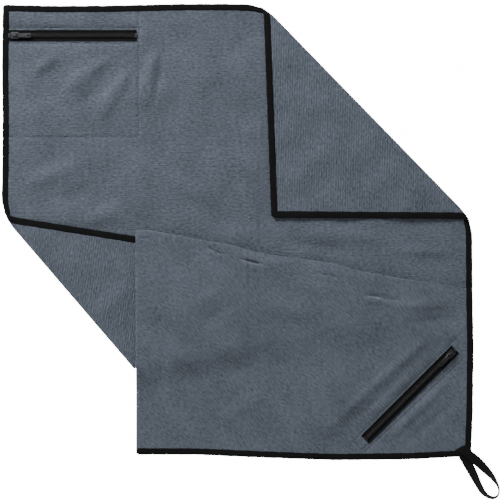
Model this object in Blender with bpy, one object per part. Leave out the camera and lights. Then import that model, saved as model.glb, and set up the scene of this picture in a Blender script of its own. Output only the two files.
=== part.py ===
"""Quick dry towel with two zipped pockets, lying folded on a table.

Metres, +Z up. The origin is the middle of the underside of the whole object's box.
The cloth's front faces up. One corner is turned over onto the front along a slanting fold,
and the lower half is drawn up over the upper half in a pleat.
"""

import math

import bmesh
import bpy
from mathutils import Matrix, Vector

# Driving dimensions of the cloth and its tape.
CLOTH = 0.0010  # thickness of the microfibre cloth
GAP = 0.0003  # clearance between pieces that touch
TAPE_WALL = 0.0005  # thickness of the binding tape
BINDING_WIDTH = 0.0065
PLEAT_WALL = 0.0020  # cloth that turns round at a fold, seen from above
FOLD_INSET = 0.0001  # keeps the turn of a fold inside the outline of its two layers

# Plan of the folded towel, seen from above.
LEFT_X = -0.2709
RIGHT_X = 0.2356
TOP_Y = 0.2689
BOTTOM_Y = -0.2171
FLAP_FOLD_START_X = 0.0106  # on the top edge
FLAP_FOLD_END_Y = 0.0379  # on the right edge
FLAP_CORNER = (0.0206, 0.0409)
SIDE_FOLD_START_Y = 0.0430  # on the left edge
SIDE_FLAP_TIP = (-0.0334, 0.0039)
SIDE_FOLD_SLOPE = -1.165  # rise over run of the side flap's slanting fold
FRONT_LEFT_X = -0.1252  # left edge of the lower half
FRONT_LEFT_RISE = 0.2410  # from the bottom edge to the pleat, at the left and right edges of the lower half
FRONT_RIGHT_RISE = 0.1910
FOOT_LEFT_RISE = 0.1041  # from the bottom edge to the pleat's hidden lower turn, at the same edges
FOOT_RIGHT_RISE = 0.1690
FRONT_SLOPE_RUN = 0.0350  # the lower half comes down to the table over this run

# Zips: a coil zip whose tapes fill a window in the cloth.
ZIP_WINDOW = 0.0112
ZIP_TAPE = 0.0005
CHAIN_GAP = 0.0010  # between the two coils, where the slider's post runs
COIL_WIDTH = 0.0018
COIL_HEIGHT = 0.0010
STOP_LENGTH = 0.0022
MAIN_ZIP_LENGTH = 0.1390
MAIN_ZIP_DROP = 0.0330  # from the top edge to the middle of the zip
CORNER_ZIP_LENGTH = 0.1380
CORNER_ZIP_INSET = 0.0665  # from the right and bottom edges to the middle of the zip
CORNER_ZIP_TURN = math.radians(45)
SLIDER_LENGTH = 0.0086
SLIDER_WIDTH = 0.0072
SLIDER_PLATE = 0.0005  # lower plate of the slider
SLIDER_CROWN = 0.0007  # upper plate of the slider
SLIDER_POST = 0.0004
BRIDGE_LENGTH = 0.0044  # the arch on the slider that holds the pull
BRIDGE_WIDTH = 0.0020
BRIDGE_HEIGHT = 0.0024
BRIDGE_WALL = 0.0009
PULL_LENGTH = 0.0175  # from the pull's axis to its tip
PULL_WIDTH = 0.0046
PULL_THICKNESS = 0.0009
PULL_ARM = 0.0009  # width of the pull's two side arms
PULL_BAR = 0.0004  # radius of the bar under the bridge
PULL_HOLE = 0.0014  # width of the slot near the pull's tip

# Pockets and loop.
LINING = 0.0003  # thin lining behind each pocket
MAIN_POCKET_WIDTH = 0.1390
MAIN_POCKET_HEIGHT = 0.1400
CORNER_POCKET_SIDE = 0.1310  # both short sides of the triangle
WEBBING = 0.0012
LOOP_LENGTH = 0.0600
LOOP_NECK = 0.0110
LOOP_BELLY = 0.0215
LOOP_TURN = math.radians(-58)
LOOP_WIDEST = 0.68  # share of the loop's length where it is widest
HOLE_START = 0.44  # shares of the loop's length where its hole begins and ends
HOLE_END = 0.95
HOLE_WIDTH = 0.0130
TAB_LENGTH = 0.0120
LOOP_STEPS = 12

# Places and heights that follow from the values above.
FRONT_TOP_LEFT_Y = BOTTOM_Y + FRONT_LEFT_RISE
FRONT_TOP_RIGHT_Y = BOTTOM_Y + FRONT_RIGHT_RISE
FOOT_LEFT_Y = BOTTOM_Y + FOOT_LEFT_RISE
FOOT_RIGHT_Y = BOTTOM_Y + FOOT_RIGHT_RISE
BINDING_HEIGHT = CLOTH + 2 * GAP + 2 * TAPE_WALL
EDGE = TAPE_WALL + GAP  # the cloth stops this far inside the binding's outer face
BASE_Z = EDGE  # underside of the cloth where it lies on the table
FLAP_Z = BASE_Z + CLOTH + 2 * GAP + TAPE_WALL
RETURN_Z = FLAP_Z + CLOTH + TAPE_WALL + 2 * GAP
FRONT_Z = RETURN_Z + CLOTH + GAP
SLIDER_Z = LINING + GAP
ZIP_TAPE_Z = SLIDER_Z + SLIDER_PLATE + GAP
COIL_Z = ZIP_TAPE_Z + ZIP_TAPE + GAP
CROWN_Z = COIL_Z + COIL_HEIGHT + GAP
BRIDGE_Z = CROWN_Z + SLIDER_CROWN
PULL_Z = BRIDGE_Z + (BRIDGE_HEIGHT - BRIDGE_WALL) / 2

COLOURS = {
    "cloth": (0.100, 0.122, 0.147, 1.0, 0.95, 0.0),
    "binding": (0.010, 0.011, 0.012, 1.0, 0.75, 0.0),
    "zip_tape": (0.008, 0.008, 0.009, 1.0, 0.85, 0.0),
    "zip_coil": (0.012, 0.012, 0.013, 1.0, 0.45, 0.0),
    "zip_metal": (0.030, 0.031, 0.033, 1.0, 0.40, 0.8),
    "webbing": (0.009, 0.009, 0.010, 1.0, 0.80, 0.0),
}


def clear_scene():
    """Removes every object that the file opened with."""
    for obj in list(bpy.data.objects):
        bpy.data.objects.remove(obj)


def make_collection(name):
    """A new collection linked to the scene."""
    collection = bpy.data.collections.new(name)
    bpy.context.scene.collection.children.link(collection)
    return collection


def make_material(name):
    """A Principled material from the colour table: colour, roughness and metallic value."""
    red, green, blue, alpha, roughness, metallic = COLOURS[name]
    material = bpy.data.materials.new(name)
    material.use_nodes = True
    shader = material.node_tree.nodes["Principled BSDF"]
    shader.inputs["Base Color"].default_value = (red, green, blue, alpha)
    shader.inputs["Roughness"].default_value = roughness
    shader.inputs["Metallic"].default_value = metallic
    return material


def add_mesh(name, mesh, collection):
    """An object for a mesh, in a collection."""
    obj = bpy.data.objects.new(name, mesh)
    collection.objects.link(obj)
    return obj


def plate_mesh(name, outlines, low, high):
    """A flat plate between two heights: the first outline is its rim and any others are holes."""
    curve = bpy.data.curves.new(name, "CURVE")
    curve.dimensions = "2D"
    curve.fill_mode = "BOTH"
    curve.extrude = (high - low) / 2
    for outline in outlines:
        spline = curve.splines.new("POLY")
        spline.points.add(len(outline) - 1)
        for point, (x, y) in zip(spline.points, outline):
            point.co = (x, y, 0.0, 1.0)
        spline.use_cyclic_u = True
    carrier = bpy.data.objects.new(name, curve)
    mesh = bpy.data.meshes.new_from_object(carrier)
    bpy.data.objects.remove(carrier)
    bpy.data.curves.remove(curve)
    mesh.transform(Matrix.Translation((0.0, 0.0, (low + high) / 2)))
    weld(mesh)
    return mesh


def weld(mesh):
    """Merges the loose caps of a converted curve and points its faces outwards."""
    work = bmesh.new()
    work.from_mesh(mesh)
    bmesh.ops.remove_doubles(work, verts=work.verts, dist=0.000001)
    bmesh.ops.recalc_face_normals(work, faces=work.faces)
    work.to_mesh(mesh)
    work.free()


def plate(name, outlines, low, high, material, collection):
    """A flat plate as an object with its material."""
    mesh = plate_mesh(name, outlines, low, high)
    mesh.materials.append(material)
    return add_mesh(name, mesh, collection)


def join(target, tool, operation):
    """A live Boolean on the target. The tool stays in the helpers' collection, unrendered."""
    modifier = target.modifiers.new(tool.name, "BOOLEAN")
    modifier.operation = operation
    modifier.object = tool
    modifier.solver = "EXACT"
    tool.hide_render = True
    tool.display_type = "WIRE"


def strip(start, end, width, inset):
    """A band of that width on the left-hand side of the line from start to end, moved in by inset."""
    along = (Vector(end) - Vector(start)).normalized()
    side = Vector((-along.y, along.x))
    near = side * inset
    far = side * (inset + width)
    corners = (Vector(start) + near, Vector(end) + near, Vector(end) + far, Vector(start) + far)
    return [tuple(corner) for corner in corners]


def zip_frame(centre, turn):
    """A zip's own frame: X along the zip, its middle on the plan."""
    return Matrix.Translation((centre[0], centre[1], 0.0)) @ Matrix.Rotation(turn, 4, "Z")


def rectangle(x_low, x_high, y_low, y_high):
    """The corners of an upright rectangle."""
    return [(x_low, y_low), (x_high, y_low), (x_high, y_high), (x_low, y_high)]


def placed(outline, frame):
    """An outline carried from a zip's frame to the plan."""
    return [tuple((frame @ Vector((x, y, 0.0))).xy) for x, y in outline]


def zip_window(length):
    """The window that a zip of that length needs in the cloth."""
    return rectangle(-length / 2, length / 2, -ZIP_WINDOW / 2, ZIP_WINDOW / 2)


def pleat_foot_y(x):
    """Where the pleat's hidden lower turn runs, a straight line across the lower half."""
    share = (x - FRONT_LEFT_X) / (RIGHT_X - EDGE - FRONT_LEFT_X)
    return FOOT_LEFT_Y + share * (FOOT_RIGHT_Y - FOOT_LEFT_Y)


def cloth_plan():
    """The named points of the cloth's edges and folds on the plan."""
    left, right = LEFT_X + EDGE, RIGHT_X - EDGE
    top, bottom = TOP_Y - EDGE, BOTTOM_Y + EDGE
    side_x = FRONT_LEFT_X - GAP
    tip_x = SIDE_FLAP_TIP[0]
    return {
        "top_left": (left, top),
        "flap_start": (FLAP_FOLD_START_X, top),
        "flap_corner": FLAP_CORNER,
        "flap_end": (right, FLAP_FOLD_END_Y),
        "side_start": (left, SIDE_FOLD_START_Y),
        "side_end": (side_x, SIDE_FOLD_START_Y + (side_x - left) * SIDE_FOLD_SLOPE),
        "side_pleat": (side_x, pleat_foot_y(side_x)),
        "side_flap_tip": SIDE_FLAP_TIP,
        "side_flap_foot": (tip_x, pleat_foot_y(tip_x)),
        "pleat_left": (FRONT_LEFT_X, FOOT_LEFT_Y),
        "pleat_right": (right, FOOT_RIGHT_Y),
        "front_top_left": (FRONT_LEFT_X, FRONT_TOP_LEFT_Y),
        "front_top_right": (right, FRONT_TOP_RIGHT_Y),
        "front_bottom_left": (FRONT_LEFT_X, bottom),
        "front_bottom_right": (right, bottom),
    }


def slope_foot_y():
    """Where the slope of the lower half reaches the table at its right edge, with room for the binding's channel."""
    start, end = cloth_plan()["pleat_left"], cloth_plan()["pleat_right"]
    slant = math.atan2(end[1] - start[1], end[0] - start[0])
    inwards = BINDING_WIDTH * math.tan(slant)
    return end[1] - (PLEAT_WALL + FRONT_SLOPE_RUN) / math.cos(slant) - inwards


def make_cloth(material, parts, helpers, zips):
    """The folded sheet: its layers as plates, joined at each fold by a turn of cloth."""
    plan = cloth_plan()
    base = ("top_left", "side_start", "side_end", "side_pleat", "pleat_right", "flap_end", "flap_start")
    side_flap = ("side_start", "side_end", "side_pleat", "side_flap_foot", "side_flap_tip")
    back = ("front_top_left", "pleat_left", "pleat_right", "front_top_right")
    layers = (
        ("flap_layer", ("flap_start", "flap_corner", "flap_end"), FLAP_Z),
        ("side_flap_layer", side_flap, FLAP_Z),
        ("return_layer", back, RETURN_Z),
    )
    outline = [plan[point] for point in base]
    cloth = plate("towel_cloth", [outline], BASE_Z, BASE_Z + CLOTH, material, parts)
    for name, points, low in layers:
        outline = [plan[point] for point in points]
        join(cloth, plate(name, [outline], low, low + CLOTH, material, helpers), "UNION")
    join(cloth, make_front(material, helpers), "UNION")

    half = CLOTH / 2
    turns = (
        ("flap_turn", "flap_end", "flap_start", BASE_Z, FLAP_Z),
        ("side_flap_turn", "side_start", "side_end", BASE_Z, FLAP_Z),
        ("pleat_lower_turn", "pleat_left", "pleat_right", BASE_Z, RETURN_Z),
        ("pleat_upper_turn", "front_top_right", "front_top_left", RETURN_Z, FRONT_Z),
    )
    for name, start, end, low, high in turns:
        first, last = between(plan[start], plan[end], 2 * PLEAT_WALL, 2 * PLEAT_WALL)
        wall = strip(first, last, PLEAT_WALL, FOLD_INSET)
        join(cloth, plate(name, [wall], low + half, high + half, material, helpers), "UNION")

    for name, frame, length in zips:
        window = placed(zip_window(length), frame)
        cutter = plate(name + "_window", [window], -CLOTH, BASE_Z + 2 * CLOTH, material, helpers)
        join(cloth, cutter, "DIFFERENCE")
    return cloth


def make_front(material, helpers):
    """The lower half: level over the pleat, then down a slope to the table. A long profile lies along the pleat's
    lower turn, and the lower half's outline cuts it to size."""
    plan = cloth_plan()
    start, end = Vector(plan["pleat_left"]), Vector(plan["pleat_right"])
    along = (end - start).normalized()
    reach = (end - start).length
    # Distances across the profile are measured from the pleat's lower turn, away from the top edge.
    top, foot = PLEAT_WALL, PLEAT_WALL + FRONT_SLOPE_RUN
    lower = [(-reach, FRONT_Z), (top, FRONT_Z), (foot, BASE_Z), (reach, BASE_Z)]
    upper = [(across, z + CLOTH) for across, z in reversed(lower)]
    mesh = plate_mesh("front_profile", [lower + upper], -reach, reach)
    middle = (start + end) / 2
    # The profile is drawn as (across, up) and pushed along the turn.
    frame = Matrix(
        (
            (along.y, 0, along.x, middle.x),
            (-along.x, 0, along.y, middle.y),
            (0, 1, 0, 0),
            (0, 0, 0, 1),
        )
    )
    mesh.transform(frame)
    weld(mesh)
    mesh.materials.append(material)
    front = add_mesh("front_profile", mesh, helpers)
    outline = [plan[point] for point in ("front_top_left", "front_bottom_left", "front_bottom_right")]
    outline.append(plan["front_top_right"])
    cutter = plate("front_outline", [outline], BASE_Z - CLOTH, FRONT_Z + 2 * CLOTH, material, helpers)
    join(front, cutter, "INTERSECT")
    return front


def make_binding(name, start, end, low, material, collection):
    """A run of binding tape: a channel round the cloth's edge, which runs from start to end with the cloth on its
    left-hand side. Its outer face stands one wall and one gap outside that edge."""
    run = Vector(end) - Vector(start)
    wall, width, height = TAPE_WALL, BINDING_WIDTH, BINDING_HEIGHT
    channel = [(0, 0), (width, 0), (width, wall), (wall, wall)]
    channel += [(wall, height - wall), (width, height - wall), (width, height), (0, height)]
    mesh = plate_mesh(name, [channel], 0.0, run.length)
    along = run.normalized()
    side = Vector((-along.y, along.x))
    foot = Vector(start) - side * EDGE
    # The channel is drawn across the run, as (inwards, up), and pushed along the run.
    frame = Matrix(
        (
            (side.x, 0, along.x, foot.x),
            (side.y, 0, along.y, foot.y),
            (0, 1, 0, low),
            (0, 0, 0, 1),
        )
    )
    mesh.transform(frame)
    weld(mesh)
    mesh.materials.append(material)
    return add_mesh(name, mesh, collection)


def between(start, end, from_start, from_end):
    """The line from start to end, shortened at both ends."""
    start, end = Vector(start), Vector(end)
    along = (end - start).normalized()
    return tuple(start + along * from_start), tuple(end - along * from_end)


def make_bindings(material, collection):
    """The binding tape in the runs that show, each stopping short of the next and of the folds."""
    plan = cloth_plan()
    base, flap = BASE_Z - EDGE, FLAP_Z - EDGE
    full = BINDING_WIDTH - EDGE + GAP
    fold = 2 * BINDING_WIDTH
    slope_length = BOTTOM_Y + EDGE - slope_foot_y()
    right = plan["front_bottom_right"]
    right_top = (right[0], right[1] - slope_length)
    left_tip = plan["side_flap_tip"]
    runs = (
        ("binding_top", plan["flap_start"], plan["top_left"], fold, -EDGE, base),
        ("binding_left", plan["top_left"], plan["side_start"], full, fold, base),
        ("binding_flap_side", plan["flap_start"], plan["flap_corner"], fold, full, flap),
        ("binding_flap_end", plan["flap_corner"], plan["flap_end"], -EDGE, 2 * fold, flap),
        ("binding_side_flap", left_tip, plan["side_start"], 0.0, 2 * fold, flap),
        ("binding_right", right, right_top, full, GAP, base),
        ("binding_bottom", plan["front_bottom_left"], right, 0.0, -EDGE, base),
    )
    for name, start, end, from_start, from_end, low in runs:
        first, last = between(start, end, from_start, from_end)
        make_binding(name, first, last, low, material, collection)


def block(name, x_range, y_range, z_range, frame, material, collection):
    """A rectangular piece in a zip's frame."""
    mesh = plate_mesh(name, [rectangle(*x_range, *y_range)], *z_range)
    mesh.transform(frame)
    mesh.materials.append(material)
    return add_mesh(name, mesh, collection)


def make_zip(prefix, frame, length, materials, parts, helpers, slider_end):
    """A coil zip: two tapes, two coils, two stops, and a closed slider with its pull at the slider_end, -1 or 1."""
    half = length / 2
    tape_inner, tape_outer = CHAIN_GAP / 2, ZIP_WINDOW / 2 - GAP
    coil_end = half - STOP_LENGTH - 2 * GAP
    for side, sign in (("upper", 1), ("lower", -1)):
        tape_y = sorted((sign * tape_inner, sign * tape_outer))
        coil_y = sorted((sign * tape_inner, sign * (tape_inner + COIL_WIDTH)))
        tape_z = (ZIP_TAPE_Z, ZIP_TAPE_Z + ZIP_TAPE)
        coil_z = (COIL_Z, COIL_Z + COIL_HEIGHT)
        tape_x = (-half + GAP, half - GAP)
        block(f"{prefix}_{side}_tape", tape_x, tape_y, tape_z, frame, materials["zip_tape"], parts)
        coil_x = (-coil_end, coil_end)
        block(f"{prefix}_{side}_coil", coil_x, coil_y, coil_z, frame, materials["zip_coil"], parts)
    stop_y = tape_inner + COIL_WIDTH
    for name, sign in (("start_stop", -1), ("end_stop", 1)):
        stop_x = sorted((sign * (half - GAP), sign * (half - GAP - STOP_LENGTH)))
        stop_z = (COIL_Z, COIL_Z + COIL_HEIGHT)
        block(f"{prefix}_{name}", stop_x, (-stop_y, stop_y), stop_z, frame, materials["zip_metal"], parts)
    slider_x = slider_end * (half - STOP_LENGTH - 3 * GAP - SLIDER_LENGTH / 2)
    facing = Matrix.Rotation(math.pi if slider_end > 0 else 0.0, 4, "Z")
    slider_frame = frame @ Matrix.Translation((slider_x, 0.0, 0.0)) @ facing
    make_slider(prefix, slider_frame, materials["zip_metal"], parts, helpers)
    make_pull(prefix, slider_frame, materials["zip_metal"], parts, helpers)


def make_slider(prefix, frame, material, parts, helpers):
    """The slider: a lower plate, a thin post between the coils, a crown with flanges, and a bridge for the pull."""
    name = f"{prefix}_slider"
    wide, thin = SLIDER_WIDTH / 2, SLIDER_POST / 2
    plate_top = SLIDER_Z + SLIDER_PLATE
    flange_z = ZIP_TAPE_Z + ZIP_TAPE + GAP
    flange_y = CHAIN_GAP / 2 + COIL_WIDTH + GAP
    crown_top = CROWN_Z + SLIDER_CROWN
    right = [(thin, plate_top), (thin, CROWN_Z), (flange_y, CROWN_Z), (flange_y, flange_z), (wide, flange_z)]
    right = [(wide, SLIDER_Z), (wide, plate_top)] + right + [(wide, crown_top)]
    left = [(-y, z) for y, z in reversed(right)]
    mesh = plate_mesh(name, [right + left], -SLIDER_LENGTH / 2, SLIDER_LENGTH / 2)
    # The section is drawn as (Y, Z) and pushed along X.
    mesh.transform(Matrix(((0, 0, 1, 0), (1, 0, 0, 0), (0, 1, 0, 0), (0, 0, 0, 1))))
    mesh.transform(frame)
    mesh.materials.append(material)
    slider = add_mesh(name, mesh, parts)

    outer, inner = BRIDGE_LENGTH / 2, BRIDGE_LENGTH / 2 - BRIDGE_WALL
    foot, head = BRIDGE_Z - SLIDER_CROWN / 2, BRIDGE_Z + BRIDGE_HEIGHT
    arch = [(-outer, foot), (-inner, foot), (-inner, head - BRIDGE_WALL), (inner, head - BRIDGE_WALL)]
    arch += [(inner, foot), (outer, foot), (outer, head), (-outer, head)]
    mesh = plate_mesh(name + "_bridge", [arch], -BRIDGE_WIDTH / 2, BRIDGE_WIDTH / 2)
    # The arch is drawn as (X, Z) and pushed along Y.
    mesh.transform(Matrix(((1, 0, 0, 0), (0, 0, -1, 0), (0, 1, 0, 0), (0, 0, 0, 1))))
    mesh.transform(frame)
    mesh.materials.append(material)
    join(slider, add_mesh(name + "_bridge", mesh, helpers), "UNION")


def make_pull(prefix, frame, material, parts, helpers):
    """The pull: a flat tongue with two arms that reach back to a bar under the slider's bridge."""
    name = f"{prefix}_pull"
    wide = PULL_WIDTH / 2
    arm_y = BRIDGE_WIDTH / 2 + GAP
    clear = math.hypot(BRIDGE_LENGTH / 2, BRIDGE_HEIGHT) + GAP
    slot_x = (PULL_LENGTH - 3 * PULL_HOLE, PULL_LENGTH - PULL_HOLE)
    rim = [(0.0, -wide), (PULL_LENGTH - PULL_HOLE / 2, -wide), (PULL_LENGTH, -wide / 2)]
    rim += [(x, -y) for x, y in reversed(rim)]
    notch = rectangle(-PULL_ARM, clear, -arm_y, arm_y)
    slot = rectangle(*slot_x, -PULL_HOLE / 2, PULL_HOLE / 2)
    low, high = PULL_Z - PULL_THICKNESS / 2, PULL_Z + PULL_THICKNESS / 2
    pull = plate(name, [rim, slot], low, high, material, parts)
    pull.data.transform(frame)
    cutter = plate(name + "_notch", [notch], low - GAP, high + GAP, material, helpers)
    cutter.data.transform(frame)
    join(pull, cutter, "DIFFERENCE")
    work = bmesh.new()
    turn = Matrix.Translation((0.0, 0.0, PULL_Z)) @ Matrix.Rotation(math.pi / 2, 4, "X")
    bmesh.ops.create_cone(
        work,
        cap_ends=True,
        segments=12,
        radius1=PULL_BAR,
        radius2=PULL_BAR,
        depth=2 * (wide - PULL_ARM / 4),
        matrix=frame @ Matrix.Translation((PULL_BAR, 0.0, 0.0)) @ turn,
    )
    mesh = bpy.data.meshes.new(name + "_bar")
    work.to_mesh(mesh)
    work.free()
    join(pull, add_mesh(name + "_bar", mesh, helpers), "UNION")


def make_linings(material, collection):
    """The thin linings that close the two pockets, behind the cloth."""
    left = LEFT_X + BINDING_WIDTH + GAP
    top = TOP_Y - BINDING_WIDTH - GAP
    main = rectangle(left, left + MAIN_POCKET_WIDTH, top - MAIN_POCKET_HEIGHT, top)
    plate("main_pocket_lining", [main], 0.0, LINING, material, collection)
    right = RIGHT_X - BINDING_WIDTH - GAP
    low = BOTTOM_Y + BINDING_WIDTH + GAP
    corner = [(right, low), (right, low + CORNER_POCKET_SIDE), (right - CORNER_POCKET_SIDE, low)]
    plate("corner_pocket_lining", [corner], 0.0, LINING, material, collection)


def loop_half_width(distance):
    """Half the hang loop's outer width at that distance from the towel's corner: it swells from the neck to the
    belly as a raised cosine, then closes as an ellipse."""
    widest = LOOP_WIDEST * LOOP_LENGTH
    neck, belly = LOOP_NECK / 2, LOOP_BELLY / 2
    if distance < widest:
        return neck + (belly - neck) * (1 - math.cos(math.pi * distance / widest)) / 2
    share = (distance - widest) / (LOOP_LENGTH - widest)
    return belly * math.sqrt(max(0.0, 1 - share * share))


def hole_half_width(share):
    """Half the width of the loop's hole at that share of the hole's own length: a teardrop, pointed at its start."""
    return HOLE_WIDTH / 2 * math.sin(math.pi * share**1.6)


def make_hang_loop(material, parts, helpers):
    """The webbing loop at the corner: a flat teardrop on the table, with its sewn end over the corner's binding."""
    corner = Matrix.Translation((RIGHT_X, BOTTOM_Y, 0.0)) @ Matrix.Rotation(LOOP_TURN, 4, "Z")
    near, neck = 2 * GAP, LOOP_NECK / 2
    step = math.pi / 2 / LOOP_STEPS
    # The steps bunch up towards the tip, where the outline turns.
    distances = [near + (LOOP_LENGTH - near) * math.sin(i * step) for i in range(LOOP_STEPS)]
    side = [(distance, loop_half_width(distance)) for distance in distances]
    rim = [(x, -y) for x, y in side] + [(LOOP_LENGTH, 0.0)] + [(x, y) for x, y in reversed(side)]
    start, length = HOLE_START * LOOP_LENGTH, (HOLE_END - HOLE_START) * LOOP_LENGTH
    shares = [i / LOOP_STEPS for i in range(1, LOOP_STEPS)]
    hole_side = [(start + length * share, hole_half_width(share)) for share in shares]
    hole = [(start, 0.0)] + [(x, -y) for x, y in hole_side] + [(start + length, 0.0)]
    hole += [(x, y) for x, y in reversed(hole_side)]
    tab_z = BASE_Z - EDGE + BINDING_HEIGHT + GAP
    riser = 2 * WEBBING
    loop = plate("hang_loop", [rim, hole], 0.0, WEBBING, material, parts)
    loop.data.transform(corner)
    tab_outline = rectangle(-TAB_LENGTH, near + riser, -neck, neck)
    inner = neck - FOLD_INSET
    riser_outline = rectangle(near + FOLD_INSET, near + riser - FOLD_INSET, -inner, inner)
    pieces = (
        ("loop_tab", tab_outline, tab_z, tab_z + WEBBING),
        ("loop_riser", riser_outline, WEBBING / 2, tab_z + WEBBING / 2),
    )
    for name, outline, low, high in pieces:
        tool = plate(name, [outline], low, high, material, helpers)
        tool.data.transform(corner)
        join(loop, tool, "UNION")


def main():
    """Builds every piece of the towel."""
    clear_scene()
    parts = make_collection("quick_dry_towel")
    helpers = make_collection("helpers")
    materials = {name: make_material(name) for name in COLOURS}
    main_centre = (LEFT_X + BINDING_WIDTH + GAP + MAIN_ZIP_LENGTH / 2, TOP_Y - MAIN_ZIP_DROP)
    corner_centre = (RIGHT_X - CORNER_ZIP_INSET, BOTTOM_Y + CORNER_ZIP_INSET)
    main_zip = ("main_zip", zip_frame(main_centre, 0.0), MAIN_ZIP_LENGTH)
    corner_zip = ("corner_zip", zip_frame(corner_centre, CORNER_ZIP_TURN), CORNER_ZIP_LENGTH)
    make_cloth(materials["cloth"], parts, helpers, (main_zip, corner_zip))
    make_bindings(materials["binding"], parts)
    make_linings(materials["zip_tape"], parts)
    make_zip(*main_zip, materials, parts, helpers, -1)
    make_zip(*corner_zip, materials, parts, helpers, 1)
    make_hang_loop(materials["webbing"], parts, helpers)


main()
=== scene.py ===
"""The looks of a folded quick dry towel: microfibre cloth, knitted edge tape, two coil zips and a webbing loop.

The cloth is one sheet. It is cut flat on a grid, then each point is carried over the folds by a formula. The edge
tapes follow the cloth's own edges through the same formula, so tape and cloth bend together. All sizes are metres.
"""

import math
from contextlib import contextmanager

import bmesh
import bpy
import numpy as np
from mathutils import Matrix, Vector

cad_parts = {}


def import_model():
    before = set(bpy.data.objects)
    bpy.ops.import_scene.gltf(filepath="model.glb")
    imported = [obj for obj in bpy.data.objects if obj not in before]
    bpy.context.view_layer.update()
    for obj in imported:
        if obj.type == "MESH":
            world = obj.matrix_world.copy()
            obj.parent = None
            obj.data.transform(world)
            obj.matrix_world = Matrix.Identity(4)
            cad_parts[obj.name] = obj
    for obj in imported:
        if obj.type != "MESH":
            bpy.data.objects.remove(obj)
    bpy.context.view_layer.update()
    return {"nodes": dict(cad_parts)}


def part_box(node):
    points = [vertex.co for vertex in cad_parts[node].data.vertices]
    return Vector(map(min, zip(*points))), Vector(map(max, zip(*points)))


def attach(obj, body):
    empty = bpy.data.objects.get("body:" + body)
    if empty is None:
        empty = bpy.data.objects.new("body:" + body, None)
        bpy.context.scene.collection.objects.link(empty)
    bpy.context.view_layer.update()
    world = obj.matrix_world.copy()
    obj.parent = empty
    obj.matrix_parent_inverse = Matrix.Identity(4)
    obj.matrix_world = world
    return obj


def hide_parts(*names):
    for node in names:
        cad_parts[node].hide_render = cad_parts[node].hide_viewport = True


CLOTH = 0.0009  # thickness
# Heights of the middle of the cloth, from the table up.
BASE_MID = 0.0013
BASE_SINK = 0.0004  # the most that it may be pressed below that
LOWEST_MID = 0.00047
LOFT = 0.0011  # how much higher the cloth rides where it isn't held down
RETURN_MID = 0.0065  # hidden layer of the pleat, over the side flap
RETURN_LOW = 0.0030  # the same layer where there is no side flap below
LAYER_STEP = 0.0017  # from the hidden layer to the lower half above it

# Folds: the corner flap's and side flap's fold lines run from a start to an end, and their loose corners land here.
FLAP_FOLD = ((0.0106, 0.2681), (0.2348, 0.0379))
FLAP_CORNER = (0.0206, 0.0409)
SIDE_FOLD = ((-0.2701, 0.0430), (-0.1255, -0.1255))
SIDE_TIP = (-0.0334, 0.0039)
SIDE_FOOT = (-0.0334, -0.0964)
FLAP_ROLL = 0.0019  # radius of the soft roll at each fold
SETTLE = 0.0007  # how far a flap sinks below its roll
SETTLE_RUN = 0.022
FOLD_CUTS = 8  # strips that the roll is cut into
FRONT_LEFT = -0.1252
EDGE_ROLL = 0.0008  # the lower half's left edge is rolled under

# The pleat: its upper fold shows, and its lower turn is hidden.
PLEAT_FOLD = (
    (-0.1252, 0.0252),
    (-0.1133, 0.0252),
    (-0.0788, 0.0190),
    (-0.0584, 0.0147),
    (-0.0271, 0.0100),
    (-0.0034, 0.0030),
    (0.0182, -0.0015),
    (0.0860, -0.0105),
    (0.1119, -0.0185),
    (0.1604, -0.0272),
    (0.2348, -0.0375),
)
PLEAT_FOOT = ((-0.1252, -0.1130), (0.2348, -0.0481))
PLEAT_FADE = 0.085  # the pleat opens out over this run before the right edge
SLOPE_RUN = 0.0350  # the lower half comes down to the table over this run

# The lower half's bottom and right edges, which wander a little.
BOTTOM_EDGE = (
    (-0.1252, -0.2142),
    (-0.0600, -0.2145),
    (0.0200, -0.2180),
    (0.0900, -0.2205),
    (0.1700, -0.2195),
    (0.2348, -0.2160),
)
RIGHT_WANDER = ((-0.2170, -0.0012), (-0.1700, 0.0006), (-0.1050, 0.0016), (-0.0500, 0.0006), (0.0379, 0.0))
LEFT_WANDER = (
    (0.0430, 0.0),
    (0.0900, 0.0009),
    (0.1500, 0.0014),
    (0.2000, 0.0006),
    (0.2400, 0.0012),
    (0.2681, 0.0016),
)
TOP_WANDER = (
    (-0.2701, 0.0),
    (-0.2200, -0.0012),
    (-0.1600, -0.0010),
    (-0.0800, 0.0008),
    (-0.0300, 0.0010),
    (0.0106, 0.0),
)

# Corners that the folds round off: x, y, then how far the cloth is drawn in.
SOFT_CORNERS = (
    (-0.2701, 0.0430, 0.0036, 0.0012),
    (0.0106, 0.2681, -0.0008, -0.0030),
    (0.2348, 0.0379, -0.0030, -0.0006),
)
CORNER_REACH = 0.0095

GRID = 0.0029  # spacing of the cloth's grid

TAPE_WIDTH = 0.0071
TAPE_THICK = 0.0023
TAPE_PROUD = 0.0011  # tape outside the cloth's edge

RELIEF_TOP = 0.0035  # the highest that waves and creases lift the cloth
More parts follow.
